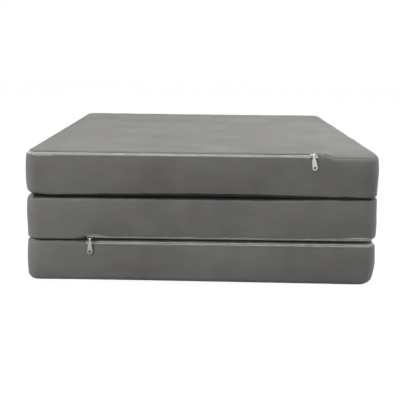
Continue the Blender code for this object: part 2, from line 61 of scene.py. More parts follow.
Colour = tuple[float, float, float, float]
Piece = bpy.types.Object
Shape = bmesh.types.BMesh
Socket = bpy.types.NodeSocket
Value = Socket | float


def clamped(value: float) -> float:
    """The value held between 0 and 1."""
    return min(max(value, 0.0), 1.0)


class Side(Enum):
    """The two sides of a zip: towards the crowned panel or towards the border."""

    PANEL = 1
    BORDER = -1

    @property
    def label(self) -> str:
        """Name that the side has in the pieces' names."""
        return "panel_side" if self is Side.PANEL else "border_side"


class Closed(Enum):
    """The end of the L at which a zip's slider rests when the cover is shut."""

    FRONT = "front"
    SIDE = "side"


class Part(Enum):
    """The three cloth parts of one cover."""

    ZIP_PANEL = "cover_zip_panel"
    PLAIN_PANEL = "cover_plain_panel"
    BORDER = "cover_border"


# Finishes


@dataclass
class NodeGraph:
    """A node tree with short calls for adding and joining nodes."""

    tree: bpy.types.NodeTree

    @property
    def place(self) -> Socket:
        """Object coordinates, from one shared node."""
        node = self.tree.nodes.get("place") or self.add("TexCoord", name="place")
        return node.outputs["Object"]

    def fill(self, node: bpy.types.Node, values: dict) -> None:
        """Feed a node's inputs.

        Args:
            node: Node that is fed.
            values: Input name or index to a constant or to an output socket.
        """
        for name, value in values.items():
            if isinstance(value, Socket):
                self.tree.links.new(value, node.inputs[name])
            else:
                node.inputs[name].default_value = value

    def add(self, kind: str, values: dict | None = None, **settings) -> bpy.types.Node:
        """Add a node, set its properties and feed its inputs.

        Args:
            kind: Node type without its ShaderNode prefix.
            values: What fill takes.
            **settings: Properties of the node.

        Returns:
            The new node.
        """
        prefix = "" if kind.startswith("NodeGroup") else "ShaderNode"
        node = self.tree.nodes.new(prefix + kind)
        for name, value in settings.items():
            setattr(node, name, value)
        self.fill(node, values or {})
        return node

    def math(self, operation: str, *values: Value) -> Socket:
        """Result of a Math node on constants or sockets."""
        return self.add("Math", dict(enumerate(values)), operation=operation).outputs[0]

    def noise(self, vector: Socket, scale: Value, detail: float = 3.0, rough: float = 0.5) -> Socket:
        """Factor of a noise texture read at a vector."""
        values = {"Vector": vector, "Scale": scale, "Detail": detail, "Roughness": rough}
        return self.add("TexNoise", values).outputs["Fac"]

    def wave(self, direction: str, **values: Value) -> Socket:
        """Factor of a wave texture with its bands in a direction."""
        return self.add("TexWave", values, bands_direction=direction).outputs["Fac"]

    def spread(self, value: Socket, low: float, high: float, start: float = 0.0, end: float = 1.0) -> Socket:
        """Map a range onto another and clamp it."""
        return self.add("MapRange", {0: value, 1: low, 2: high, 3: start, 4: end}).outputs[0]

    def mix(self, share: Socket, first: Colour, second: Colour) -> Socket:
        """Blend of two colours by a share."""
        return self.add("Mix", {0: share, 6: first, 7: second}, data_type="RGBA").outputs[2]

    def stretched(self, vector: Socket, scale: tuple[float, float, float]) -> Socket:
        """Vector scaled by axis."""
        return self.add("Mapping", {"Vector": vector, "Scale": scale}).outputs[0]

    def bump(self, height: Socket, strength: float, distance: float) -> Socket:
        """Normal that a height bends."""
        return self.add("Bump", {"Height": height, "Strength": strength, "Distance": distance}).outputs[0]


def mottle_group() -> bpy.types.NodeTree:
    """Soft patches and fine grain, shared by the pile cloths.

    Returns:
        Node group with a Patches share, a Grain share and a Height.
    """
    name = "patches_and_grain"
    if name in bpy.data.node_groups:
        return bpy.data.node_groups[name]
    group = bpy.data.node_groups.new(name, "ShaderNodeTree")
    sockets = group.interface
    sockets.new_socket(name="Vector", in_out="INPUT", socket_type="NodeSocketVector")
    for label in ("Patch Scale", "Grain Scale"):
        sockets.new_socket(name=label, in_out="INPUT", socket_type="NodeSocketFloat")
    for label in ("Patches", "Grain", "Height"):
        sockets.new_socket(name=label, in_out="OUTPUT", socket_type="NodeSocketFloat")
    graph = NodeGraph(group)
    entry = graph.add("NodeGroupInput").outputs
    place = entry["Vector"]
    warp = graph.add("TexNoise", {"Vector": place, "Scale": 6.0, "Detail": 2.0}).outputs["Color"]
    shifted = {0: warp, 1: (0.05, 0.05, 0.05), 2: place}
    moved = graph.add("VectorMath", shifted, operation="MULTIPLY_ADD").outputs[0]
    patches = graph.spread(graph.noise(moved, entry["Patch Scale"], 4.0, 0.55), 0.32, 0.68)
    grain = graph.noise(place, entry["Grain Scale"], 2.0, 0.6)
    height = graph.math("MULTIPLY_ADD", patches, 0.25, grain)
    graph.add("NodeGroupOutput", {"Patches": patches, "Grain": grain, "Height": height})
    return group


@dataclass(frozen=True)
class Finish:
    """Base of every finish: a name, a material slot, and the inputs of a Principled shader."""

    name: str
    slot: str

    def material(self) -> bpy.types.Material:
        """Make the material on first use.

        Returns:
            The material.
        """
        if self.name in bpy.data.materials:
            return bpy.data.materials[self.name]
        made = bpy.data.materials.new(self.name)
        made.use_nodes = True
        graph = NodeGraph(made.node_tree)
        graph.fill(made.node_tree.nodes["Principled BSDF"], self.inputs(graph))
        return made

    def inputs(self, graph: NodeGraph) -> dict:
        """Values of the Principled shader's inputs; each finish has its own."""
        raise NotImplementedError


@dataclass(frozen=True)
class PileCloth(Finish):
    """Short brushed pile: dark in its depth, paler where the nap lies towards the light."""

    deep: Colour = (0.172, 0.168, 0.158, 1.0)
    pale: Colour = (0.252, 0.248, 0.236, 1.0)
    sheen: float = 0.4
    patch_scale: float = 13.0
    grain_scale: float = 1100.0

    def inputs(self, graph: NodeGraph) -> dict:
        """Brushed patches, fine nap and a soft sheen.

        Args:
            graph: Graph of the material.

        Returns:
            Values of the shader's inputs.
        """
        scales = {"Vector": graph.place, "Patch Scale": self.patch_scale, "Grain Scale": self.grain_scale}
        mottle = graph.add("Group", scales, node_tree=mottle_group()).outputs
        broad = graph.spread(graph.noise(graph.place, 3.1, 2.0), 0.3, 0.7)
        streak = graph.noise(graph.stretched(graph.place, (14.0, 90.0, 90.0)), 1.0)
        layers = (mottle["Patches"], 0.34), (mottle["Grain"], 0.55), (broad, 0.22), (streak, 0.2)
        share = 0.0
        for layer, weight in layers:
            share = graph.math("MULTIPLY_ADD", layer, weight, share)
        return {
            "Base Color": graph.mix(graph.spread(share, 0.35, 1.0), self.deep, self.pale),
            "Roughness": graph.spread(mottle["Patches"], 0.0, 1.0, 0.94, 0.82),
            "Specular IOR Level": 0.25,
            "Sheen Weight": self.sheen,
            "Sheen Roughness": 0.42,
            "Sheen Tint": (0.86, 0.85, 0.83, 1.0),
            "Normal": graph.bump(mottle["Height"], 0.55, 0.0006),
        }


@dataclass(frozen=True)
class OpenFoam(Finish):
    """Cream open-cell foam with fine pores."""

    light: Colour = (0.86, 0.84, 0.74, 1.0)
    shade: Colour = (0.70, 0.66, 0.53, 1.0)
    pore_scale: float = 700.0

    def inputs(self, graph: NodeGraph) -> dict:
        """Pores from cells, with slow patches of yellowing.

        Args:
            graph: Graph of the material.

        Returns:
            Values of the shader's inputs.
        """
        cells = graph.add("TexVoronoi", {"Vector": graph.place, "Scale": self.pore_scale}).outputs["Distance"]
        pores = graph.spread(cells, 0.1, 0.7)
        pitted = graph.math("MULTIPLY", pores, 0.3)
        share = graph.math("MULTIPLY_ADD", graph.noise(graph.place, 9.0), 0.7, pitted)
        return {
            "Base Color": graph.mix(share, self.light, self.shade),
            "Roughness": 0.96,
            "Normal": graph.bump(pores, 0.7, 0.0005),
        }


@dataclass(frozen=True)
class WovenTape(Finish):
    """Herringbone tape, read from fine waves across each other."""

    light: Colour = (0.94, 0.94, 0.90, 1.0)
    dark: Colour = (0.78, 0.78, 0.75, 1.0)
    thread: float = 0.0006

    def inputs(self, graph: NodeGraph) -> dict:
        """Two crossing sets of threads with a little slub.

        Args:
            graph: Graph of the material.

        Returns:
            Values of the shader's inputs.
        """
        values = {"Vector": graph.place, "Scale": 1.0 / self.thread / math.tau, "Distortion": 0.4}
        height = graph.math("MULTIPLY", graph.wave("DIAGONAL", **values), graph.wave("Z", **values))
        slub = graph.noise(graph.place, 260.0)
        share = graph.math("MULTIPLY_ADD", slub, 0.6, graph.math("MULTIPLY", height, 0.6))
        return {
            "Base Color": graph.mix(share, self.dark, self.light),
            "Roughness": 0.8,
            "Sheen Weight": 0.2,
            "Normal": graph.bump(height, 0.8, 0.0003),
        }


@dataclass(frozen=True)
class NylonCoil(Finish):
    """Satin nylon monofilament that lets a little light in, with slow patches of dust."""

    clean: Colour = (0.82, 0.82, 0.79, 1.0)
    dusty: Colour = (0.68, 0.68, 0.65, 1.0)

    def inputs(self, graph: NodeGraph) -> dict:
        """Slow change of tone along the chain and a soft gloss.

        Args:
            graph: Graph of the material.

        Returns:
            Values of the shader's inputs.
        """
        share = graph.spread(graph.noise(graph.place, 70.0), 0.35, 0.65)
        return {
            "Base Color": graph.mix(share, self.clean, self.dusty),
            "Roughness": graph.spread(share, 0.0, 1.0, 0.32, 0.5),
            "Subsurface Weight": 0.6,
            "Subsurface Radius": (1.0, 1.0, 1.0),
            "Subsurface Scale": 0.0009,
        }


@dataclass(frozen=True)
class PlatedMetal(Finish):
    """Nickel plate with handling scratches and dull patches."""

    bright: Colour = (0.40, 0.395, 0.38, 1.0)
    dull: Colour = (0.22, 0.216, 0.208, 1.0)

    def inputs(self, graph: NodeGraph) -> dict:
        """Brushed scratches over slow tarnish.

        Args:
            graph: Graph of the material.

        Returns:
            Values of the shader's inputs.
        """
        tarnish = graph.spread(graph.noise(graph.place, 240.0, 4.0), 0.35, 0.75)
        scratch = graph.noise(graph.stretched(graph.place, (900.0, 900.0, 4000.0)), 1.0)
        return {
            "Base Color": graph.mix(tarnish, self.bright, self.dull),
            "Roughness": graph.spread(scratch, 0.3, 0.7, 0.4, 0.58),
            "Metallic": 1.0,
            "Normal": graph.bump(scratch, 0.2, 0.00005),
        }


@dataclass(frozen=True)
class SewingThread(Finish):
    """Twisted polyester thread, a shade darker than the cloth."""

    dark: Colour = (0.10, 0.098, 0.092, 1.0)
    light: Colour = (0.19, 0.187, 0.178, 1.0)

    def inputs(self, graph: NodeGraph) -> dict:
        """Fine twist along the stitch.

        Args:
            graph: Graph of the material.

        Returns:
            Values of the shader's inputs.
        """
        twist = graph.wave("DIAGONAL", Vector=graph.place, Scale=900.0)
        return {
            "Base Color": graph.mix(twist, self.dark, self.light),
            "Roughness": 0.6,
            "Normal": graph.bump(twist, 0.5, 0.0001),
        }


CLOTH = PileCloth("charcoal_pile_cloth", "cloth")
# Darker copy of the pile cloth for the top section's border: painted shade that darkens that border, not a
# different cloth.
SHADED_CLOTH = PileCloth(
    "charcoal_pile_cloth_nap_down", "cloth", (0.160, 0.156, 0.147, 1.0), (0.234, 0.230, 0.219, 1.0)
)
# Near-black copy of the pile cloth for the hinge strips, with little sheen: painted shade that fills the
# creases between the sections.
PAINTED_SHADE_STRIP = PileCloth(
    "painted_shade_strip_cloth", "cloth", (0.026, 0.026, 0.025, 1.0), (0.045, 0.044, 0.042, 1.0), 0.1
)
FOAM = OpenFoam("cream_foam", "foam")
TAPE = WovenTape("grey_zip_tape", "tape")
COIL = NylonCoil("grey_nylon_coil", "coil")
# Copies of one nickel plate at three brightnesses. nickel_plate, on the sliders and stops, is the darkest,
# which keeps the slider's reflection of the top lamp low: painted shade. The top section's pull wears a paler
# copy, which is painted light. The lower pulls, which hang in shade under the sections above, wear a darker
# copy, which is painted shade.
METAL = PlatedMetal("nickel_plate", "metal")
LIT_PULL_NICKEL = PlatedMetal("lit_pull_nickel_plate", "metal", (0.86, 0.85, 0.82, 1.0), (0.64, 0.63, 0.61, 1.0))
SHADED_PULL_NICKEL = PlatedMetal(
    "shaded_pull_nickel_plate", "metal", (0.60, 0.59, 0.57, 1.0), (0.34, 0.33, 0.32, 1.0)
)
THREAD = SewingThread("charcoal_thread", "cloth")


# Shared mesh work


def linked(name: str, data: bpy.types.ID) -> Piece:
    """Link a new object to the scene.

    Args:
        name: Name of the object.
        data: Its mesh, curve, lamp or camera.

    Returns:
        The object.
    """
    made = bpy.data.objects.new(name, data)
    bpy.context.scene.collection.objects.link(made)
    return made


def mesh_of(name: str, bm: Shape) -> bpy.types.Mesh:
    """Turn a bmesh into a mesh.

    Args:
        name: Name of the mesh.
        bm: The bmesh; it is freed.

    Returns:
        The mesh.
    """
    mesh = bpy.data.meshes.new(name)
    bm.to_mesh(mesh)
    bm.free()
    return mesh


def dressed(name: str, data: bpy.types.ID, finish: Finish) -> Piece:
    """Make an object in its finish.

    Args:
        name: Piece name.
        data: Its mesh or curve.
        finish: Finish of the piece.

    Returns:
        The object.
    """
    data.materials.append(finish.material())
    piece = linked(name, data)
    return piece


def finished(name: str, bm: Shape, finish: Finish, body: str, smooth: float = 40.0) -> Piece:
    """Turn a bmesh into a shown piece that rides on a body.

    Args:
        name: Piece name.
        bm: Shape in world metres; it is freed.
        finish: Finish of the piece.
        body: CAD body that it rides on.
        smooth: Edges sharper than this many degrees stay sharp.

    Returns:
        The new object.
    """
    mesh = mesh_of(name, bm)
    mesh.shade_smooth()
    mesh.set_sharp_from_angle(angle=math.radians(smooth))
    piece = dressed(name, mesh, finish)
    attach(piece, body)
    return piece


def ruled(keys: list[float], most: float) -> list[float]:
    """Positions through all keys with no step over the most.

    Args:
        keys: Places that must be on the ruler.
        most: Longest step between places.

    Returns:
        Sorted places.
    """
    keys = sorted(keys)
    places = [keys[0]]
    for low, high in zip(keys, keys[1:]):
        count = max(1, math.ceil((high - low) / most - TINY))
        places += [low + (high - low) * k / count for k in range(1, count + 1)]
    return places


def divided_cube(rulers: list[list[float]]) -> Shape:
    """Cube divided by a ruler on each axis, with every vertex's place in int layers.

    Args:
        rulers: Sorted places along x, y and z.

    Returns:
        The cube's six divided faces.
    """
    bm = bmesh.new()
    bmesh.ops.create_cube(bm, size=1.0)
    for axis, ruler in enumerate(rulers):
        lines = [e for e in bm.edges if abs((e.verts[0].co - e.verts[1].co)[axis]) > 1e-4]
        bmesh.ops.subdivide_edges(bm, edges=lines, cuts=len(ruler) - 2, use_grid_fill=True)
    layers = [bm.verts.layers.int.new(name) for name in ("ix", "iy", "iz")]
    for vert in bm.verts:
        for axis, (ruler, layer) in enumerate(zip(rulers, layers)):
            place = round((vert.co[axis] + 0.5) * (len(ruler) - 1))
            vert[layer] = place
            vert.co[axis] = ruler[place]
    return bm


def past_corner(place: Vector, half: Vector | tuple, radius: float) -> tuple[list[float], list[float]]:
    """Nearest corner of the core inside a rectangle's corner radius, and how far a place is past it."""
    core = [math.copysign(max(h - radius, 0.0), v) for v, h in zip(place.xy, half)]
    return core, [v - c if abs(v) > abs(c) else 0.0 for v, c in zip(place.xy, core)]


@dataclass
class EdgeShape:
    """Roundings of a section, as in the solids, and how its cloth lies over them."""

    plan_radius: float = 0.025
    edge_radius: float = 0.010
    side_bulge: float = 0.0010
    foam_edge_radius: float = 0.018
    crown: float = 0.0012
    crown_run: float = 0.150
    cloth: float = 0.0012
    seam_dip: float = 0.00035
    slot_tilt: float = math.radians(45)
    side_setback: float = 0.0555
    drawn_lip_angle: float = math.radians(21)
    lip_angle: float = math.radians(18.5)
    slider_lip_angle: float = math.radians(28)
    slider_length: float = 0.0115
    slider_room: float = 0.0095
    slider_rest: float = 0.019
    slider_fade: float = 0.012
    pinch_run: float = 0.0055
    pinch_least: float = 0.1
    pinch_power: float = 1.3
    full_edge_radius: float = 0.0026
    full_edge_reach: float = 0.055
    full_edge_start: float = 0.003
    full_edge_run: float = 0.012
    sag_start: float = 0.010
    sag_run: float = 0.018
    sag_height: float = 0.045
    sag_rise: float = 0.035
    sag_depth: float = 0.024
    tuck_height: float = 0.045
    tuck_width: float = 0.06
    tuck_depth: float = 0.13
    lift_height: float = 0.060
    lift_rise: float = 0.050
    lift_depth: float = 0.05


@dataclass
class Section:
    """One mattress section: where it lies, which way up, and where its zip runs."""

    name: str
    up: int
    hand: int
    closed: Closed
    front_setback: float
    flat_below: bool = False
    free_above: bool = False
    full_edge: float = 0.0
    full_foot: tuple | None = None
    # Whether the border wears the darker copy of the cloth, which is painted shade.
    painted_shade_border: bool = False
    border_lip_extra: float = 0.0
    sag: float = 0.0
    tuck: float = 0.0
    foot_lift: float = 0.0
    lift_centre: float = -0.02
    lift_run: float = 0.22
    seed: float = 0.0
    shape: EdgeShape = field(default_factory=EdgeShape)

    def __post_init__(self) -> None:
        """Read the section's sizes from its solids."""
        low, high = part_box(self.name + "_cover_border")
        self.half_width = (high.x - low.x) / 2
        self.half_depth = (high.y - low.y) / 2
        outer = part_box(self.name + "_cover_zip_panel")[self.up > 0].z
        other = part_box(self.name + "_cover_plain_panel")[self.up < 0].z
        zip_edge = outer - self.up * self.shape.crown
        plain_edge = other if self.flat_below else other + self.up * self.shape.crown
        self.middle = (zip_edge + plain_edge) / 2
        self.half_height = abs(zip_edge - plain_edge) / 2
        self.slot_start = self.front_setback - self.half_width
        self.slot_end = self.half_depth - self.shape.side_setback

    @property
    def body(self) -> str:
        """CAD body of the section."""
        return self.name + "_section"

    def world(self, x: float, y: float, height: float) -> Vector:
        """World point from a plan place and a height towards the zip panel."""
        return Vector((self.hand * x, y, self.middle + self.up * height))

    def give_at(self, p: Vector) -> Vector:
        """How far the cover gives at a local point.

        Args:
            p: Point in the section's local metres.

        Returns:
            The inward tuck of a lower corner, and the drop of a slack zip edge past the slider
            or the rise of a lower front edge.
        """
        e = self.shape
        front = p.y + self.half_depth
        inward = rise = 0.0
        if p.z > 0.0 and self.sag > 0.0:
            past = clamped((self.slot_start - e.sag_start - p.x) / e.sag_run)
            level = clamped((p.z - self.half_height + e.sag_height) / e.sag_rise)
            slack = past * past * (3.0 - 2.0 * past) * math.exp(-((front / e.sag_depth) ** 2))
            rise = -self.sag * slack * level
        if p.z < 0.0 and self.tuck > 0.0:
            low = clamped((e.tuck_height - self.half_height - p.z) / e.tuck_height)
            near = math.exp(-(((self.half_width - p.x) / e.tuck_width) ** 2) - (front / e.tuck_depth) ** 2)
            inward = self.tuck * low * low * near
        if p.z < 0.0 and self.foot_lift > 0.0:
            low = clamped((e.lift_height - self.half_height - p.z) / e.lift_rise)
            along = (p.x - self.lift_centre) / self.lift_run
            rise = self.foot_lift * low * math.exp(-(along ** 2) - (front / e.lift_depth) ** 2)
        return Vector((-inward, 0.0, rise))

    def edge_radius_at(self, x: float, y: float, above: bool) -> float:
        """Radius of an edge's rounding: smaller where the cover is filled out at the front.

        Args:
            x: Local place across the section.
            y: Local place from front to back.
            above: Whether it is the edge that has the zip.

        Returns:
            The radius in metres.
        """
        e = self.shape
        full = 0.0
        if above:
            full = self.full_edge * clamped((self.slot_start - e.full_edge_start - x) / e.full_edge_run)
        elif self.full_foot:
            start, end = self.full_foot
            full = clamped((x - start) / (end - start))
        away = (y + self.half_depth) / e.full_edge_reach
        return e.edge_radius + (e.full_edge_radius - e.edge_radius) * full * math.exp(-away * away)

    def crown_at(self, inset: float, above: bool) -> float:
        """Height of a face over its edge plane.

        Args:
            inset: Distance in from the section's outline.
            above: Whether it is the face that has the zip.

        Returns:
            The height in metres.
        """
        if self.flat_below and not above:
            return 0.0
        start = self.shape.side_bulge + self.shape.edge_radius
        share = (inset - start) / (self.shape.crown_run - start)
        return self.shape.crown * math.sin(math.pi / 2 * clamped(share))


@dataclass
class ZipPath:
    """Line of a zip: along the front edge, round the corner and down the side."""

    section: Section
    coil_middle: float = 0.00857
    straight_step: float = 0.012
    corner_step: float = 0.0025

    def __post_init__(self) -> None:
        """Work out the lengths of the three stretches."""
        s = self.section
        self.centre_inset = s.shape.side_bulge + s.shape.edge_radius
        reach = self.coil_middle * math.cos(s.shape.slot_tilt)
        self.turn_radius = s.shape.plan_radius - self.centre_inset + reach
        self.front = s.half_width - s.shape.plan_radius - s.slot_start
        self.turn = self.turn_radius * math.pi / 2
        self.side = s.slot_end + s.half_depth - s.shape.plan_radius
        self.length = self.front + self.turn + self.side

    def point(self, along: float, across: float, height: float) -> Vector:
        """World point in the slot.

        Args:
            along: Distance from the line's front end.
            across: Distance from the seam line towards the panel.
            height: Distance out of the edge rounding's centre.

        Returns:
            The point.
        """
        s, e = self.section, self.section.shape
        past = along - self.front
        angle = math.pi / 2 * (clamped(past / self.turn) - 1.0)
        x = s.half_width - e.plan_radius + min(past, 0.0)
        y = e.plan_radius - s.half_depth + max(past - self.turn, 0.0)
        over, up = math.cos(e.slot_tilt), math.sin(e.slot_tilt)
        reach = e.plan_radius - (self.centre_inset - height * over + across * up)
        level = s.half_height - e.edge_radius + height * up + across * over
        return s.world(x + math.cos(angle) * reach, y + math.sin(angle) * reach, level)

    def basis(self, along: float) -> Matrix:
        """Frame at a place on the line.

        Args:
            along: Distance from the line's front end.

        Returns:
            Matrix with the columns along, across, height and origin.
        """
        step = 0.0005
        origin = self.point(along, 0.0, 0.0)
        run = (self.point(along + step, 0.0, 0.0) - self.point(along - step, 0.0, 0.0)).normalized()
        rise = (self.point(along, 0.0, 1.0) - origin).normalized()
        side = (self.point(along, 1.0, 0.0) - origin).normalized()
        frame_at = Matrix((run, side, rise)).transposed().to_4x4()
        frame_at.translation = origin
        return frame_at

    def sweep(self, outline: list[tuple[float, float]], start: float, end: float) -> Shape:
        """Extrude an outline along the line, in few steps on straights and short ones round the corner.

        Args:
            outline: Corners of the section as (across, height), in order.
            start: Distance at which it starts.
            end: Distance at which it ends.

        Returns:
            A closed bmesh in world metres.
        """
        bend = (self.front, self.front + self.turn)
        keys = [k for k in (start, *bend, end) if start <= k <= end]
        places = [start]
        for low, high in zip(keys, keys[1:]):
            on_bend = low >= bend[0] - TINY and high <= bend[1] + TINY
            places += ruled([low, high], self.corner_step if on_bend else self.straight_step)[1:]
        bm = bmesh.new()
        order = bm.verts.layers.int.new("order")
        ring = [bm.verts.new(self.point(places[0], a, h)) for a, h in outline]
        for k, vert in enumerate(ring):
            vert[order] = k
        face = bm.faces.new(ring)
        for along in places[1:]:
            grown = bmesh.ops.extrude_face_region(bm, geom=[face])
            face = next(g for g in grown["geom"] if isinstance(g, bmesh.types.BMFace))
            for vert in face.verts:
                vert.co = self.point(along, *outline[vert[order]])
        bmesh.ops.recalc_face_normals(bm, faces=bm.faces)
        return bm


@dataclass
class Cushion:
    """Cover and foam core of one section."""

    section: Section
    cell: float = 0.0055
    wall_cell: float = 0.0065
    foam_cell: float = 0.05
    fine_rows: tuple = (0.0, 0.0028, 0.00555, 0.0070, 0.0085, 0.010, 0.0135, 0.0185, 0.025)
    near_end: tuple = (-0.004, -0.002, 0.0, 0.002, 0.004, 0.007)
    foam_rows: tuple = (0.0, 0.006, 0.012, 0.018, 0.05, 0.1)
    slot_rows: int = 2
    plain_end: float = 0.03
    slow_waves: tuple = ((9.0, 1.6, 0.0006), (26.0, 1.0, 0.00025))
    pucker_waves: tuple = ((62.0, 3.0, 0.0011), (150.0, 7.0, 0.0004))
    pucker_start: float = 0.003
    pucker_reach: float = 0.013
    seam_calm: float = 0.6
    underside_share: float = 0.2
    sim_frames: int = 12
    sim_pressure: float = 4.0
    sim_cap: float = 0.0022
    sim_swell: float = 0.0005
    sim_softening: int = 14
    held_rim: float = 0.004
    held_fade: float = 0.010
    tape_cover: float = 0.014
    crown_room: float = 0.0001
    open_room: float = 0.0018
    side_room: float = 0.0004

    def __post_init__(self) -> None:
        """Lay the grid, fine at the edges and at the slot's ends."""
        s = self.section
        across = [s.slot_start + n for n in self.near_end]
        deep = [s.slot_end - n for n in self.near_end]
        self.grid = [
            self.ruler(s.half_width, self.fine_rows, self.cell, across),
            self.ruler(s.half_depth, self.fine_rows, self.cell, deep),
            self.ruler(s.half_height, self.fine_rows[:-1], self.wall_cell, [0.0]),
        ]
        self.last = [len(ruler) - 1 for ruler in self.grid]

    def ruler(self, half: float, rows: tuple, most: float, extra: list[float]) -> list[float]:
        """Grid places along one axis, with rows at distances in from both ends and extra places."""
        ends = [half - r for r in rows if r < half]
        return ruled(sorted({*ends, *(-end for end in ends), *extra}), most)

    def rounded(self, p: Vector) -> Vector:
        """Carry a point of the divided cube onto the section's rounded form.

        Args:
            p: Point of the cube in the section's local metres.

        Returns:
            The point on the rounded, crowned and bulged form.
        """
        s, e = self.section, self.section.shape
        core, off = past_corner(p, (s.half_width, s.half_depth), e.plan_radius)
        most = max(abs(off[0]), abs(off[1]))
        inset = e.plan_radius - most
        if most == 0.0:
            inset = min(s.half_width - abs(p.x), s.half_depth - abs(p.y))
        over = max(e.edge_radius - inset, 0.0)
        rise = max(abs(p.z) - (s.half_height - e.edge_radius), 0.0)
        above = p.z > 0
        height = abs(p.z)
        if over > 0.0 and rise > 0.0:
            angle = math.atan2(rise, over)
            tilt = angle - e.slot_tilt
            near = min(p.y + s.half_depth, s.half_width - p.x)
            far = min(s.half_depth - p.y, p.x + s.half_width)
            if above and near < e.plan_radius and far > self.plain_end:
                angle = e.slot_tilt + self.drawn_back(tilt, p.x, p.y)
            radius = s.edge_radius_at(p.x, p.y, above)
            length = radius - (e.seam_dip if abs(tilt) < TINY else 0.0)
            over = length * math.cos(angle)
            inset = radius - over
            height = s.half_height - radius + length * math.sin(angle)
        inset += e.side_bulge * min((abs(p.z) / (s.half_height - e.edge_radius)) ** 2, 1.0)
        place = list(p.xy)
        if most > 0.0:
            reach = (e.plan_radius - inset) / math.hypot(*off)
            place = [c + o * reach if o else v for v, c, o in zip(place, core, off)]
        if abs(abs(p.z) - s.half_height) < TINY and over <= 0.0:
            height += s.crown_at(inset, above)
        moved = Vector((*place, math.copysign(height, p.z)))
        return moved + s.give_at(moved)

    def drawn_back(self, tilt: float, x: float, y: float) -> float:
        """Carry an angle over the edge to where the cover's lip opens.

        The lips are pinched at the slot's ends, and wide where the slider stops.

        Args:
            tilt: Angle from the seam line, positive towards the panel.
            x: Local place across the section.
            y: Local place from front to back.

        Returns:
            The angle from the seam line after the move.
        """
        s, e = self.section, self.section.shape
        on_side = s.half_width - x < y + s.half_depth
        inside = s.slot_end - y if on_side else x - s.slot_start
        lip, size, drawn = e.lip_angle, abs(tilt), e.drawn_lip_angle
        if s.closed is (Closed.SIDE if on_side else Closed.FRONT):
            run = s.slot_end + s.half_depth if on_side else s.half_width - s.slot_start
            far = abs(inside - (run - e.plan_radius - e.slider_length)) - e.slider_room
            away = max(min(inside - e.slider_rest, far), 0.0) / e.slider_fade
            lip += (e.slider_lip_angle - lip) * math.exp(-away * away)
        lip *= e.pinch_least + (1.0 - e.pinch_least) * min(abs(inside) / e.pinch_run, 1.0) ** e.pinch_power
        if tilt < 0.0:
            lip += s.border_lip_extra * min(lip / e.lip_angle, 1.0)
        if size <= drawn + TINY:
            return math.copysign(size * lip / drawn, tilt)
        return math.copysign(lip + (size - drawn) * (e.slot_tilt - lip) / (e.slot_tilt - drawn), tilt)

    def ripple(self, p: Vector, out: Vector) -> float:
        """Outward lift of the cloth at a point: slow waves, and puckers beside the seams.

        Args:
            p: Point on the skin.
            out: Outward direction there.

        Returns:
            The lift in metres.
        """
        s = self.section
        shift = Vector((s.seed, 0.37 * s.seed, 1.7 * s.seed))
        inset = min(s.half_width - abs(p.x), s.half_depth - abs(p.y))
        below = s.half_height - abs(p.z)
        gaps = [max(gap - self.pucker_start, 0.0) for gap in (inset, below)]
        fade = math.exp(-math.hypot(*gaps) / self.pucker_reach)
        slow = pucker = 0.0
        for rate, upright, size in self.slow_waves:
            slow += noise.noise(Vector((p.x, p.y, p.z * upright)) * rate + shift) * size
        for rate, layer, size in self.pucker_waves:
            along = Vector((p.x * rate, p.y * rate, math.copysign(layer, p.z))) + shift
            pucker += noise.noise(along) * size * fade
        lift = slow * (1.0 - self.seam_calm * fade) + pucker
        if s.flat_below and out.z < -0.5:
            lift = min(lift, 0.0) * self.underside_share
        return lift

    def shell(self) -> Shape:
        """Whole skin of the cover in local metres, rounded, settled and rippled.

        Returns:
            The skin, not yet parted.
        """
        bm = divided_cube(self.grid)
        for vert in bm.verts:
            vert.co = self.rounded(vert.co)
        bm.normal_update()
        self.inflate(bm)
        bm.normal_update()
        moves = [(v, v.normal * self.ripple(v.co, v.normal)) for v in bm.verts]
        for vert, move in moves:
            vert.co += move
        self.tame(bm)
        return bm

    def inflate(self, bm: Shape) -> None:
        """Let the cloth settle under pressure with its seams held, and keep a capped share.

        Args:
            bm: The rounded skin, which is moved in place.
        """
        s, scene = self.section, bpy.context.scene
        mesh = bpy.data.meshes.new("settling")
        bm.to_mesh(mesh)
        dummy = linked("settling", mesh)
        rest = np.array([v.co for v in bm.verts])
        plan = np.array((s.half_width, s.half_depth, s.half_height)) - np.abs(rest)
        gaps = np.maximum(plan[:, :2].min(axis=1), plan[:, 2])
        held = dummy.vertex_groups.new(name="held")
        for k, gap in enumerate(gaps):
            held.add([k], max(0.0, 1.0 - float(gap) / self.held_fade), "REPLACE")
        cloth = dummy.modifiers.new("cloth", "CLOTH")
        settings = {
            "quality": 4, "mass": 0.25, "tension_stiffness": 18.0, "compression_stiffness": 18.0,
            "shear_stiffness": 8.0, "bending_stiffness": 0.6, "vertex_group_mass": held.name,
            "use_pressure": True, "uniform_pressure_force": self.sim_pressure, "shrink_min": -0.006,
        }
        for name, value in settings.items():
            setattr(cloth.settings, name, value)
        cloth.settings.effector_weights.gravity = 0.0
        cloth.collision_settings.use_collision = False
        cloth.point_cache.frame_start = 1
        cloth.point_cache.frame_end = self.sim_frames
        for number in range(1, self.sim_frames + 1):
            scene.frame_set(number)
        settled = dummy.evaluated_get(bpy.context.evaluated_depsgraph_get()).data
        moves = np.array([v.co for v in settled.vertices]) - rest
        pairs = np.array([[v.index for v in edge.verts] for edge in bm.edges])
        normals = np.array([v.normal for v in bm.verts])
        for vert, place in zip(bm.verts, rest + self.kept_moves(moves, pairs, normals, gaps)):
            vert.co = place
        scene.frame_set(1)
        bpy.data.objects.remove(dummy, do_unlink=True)

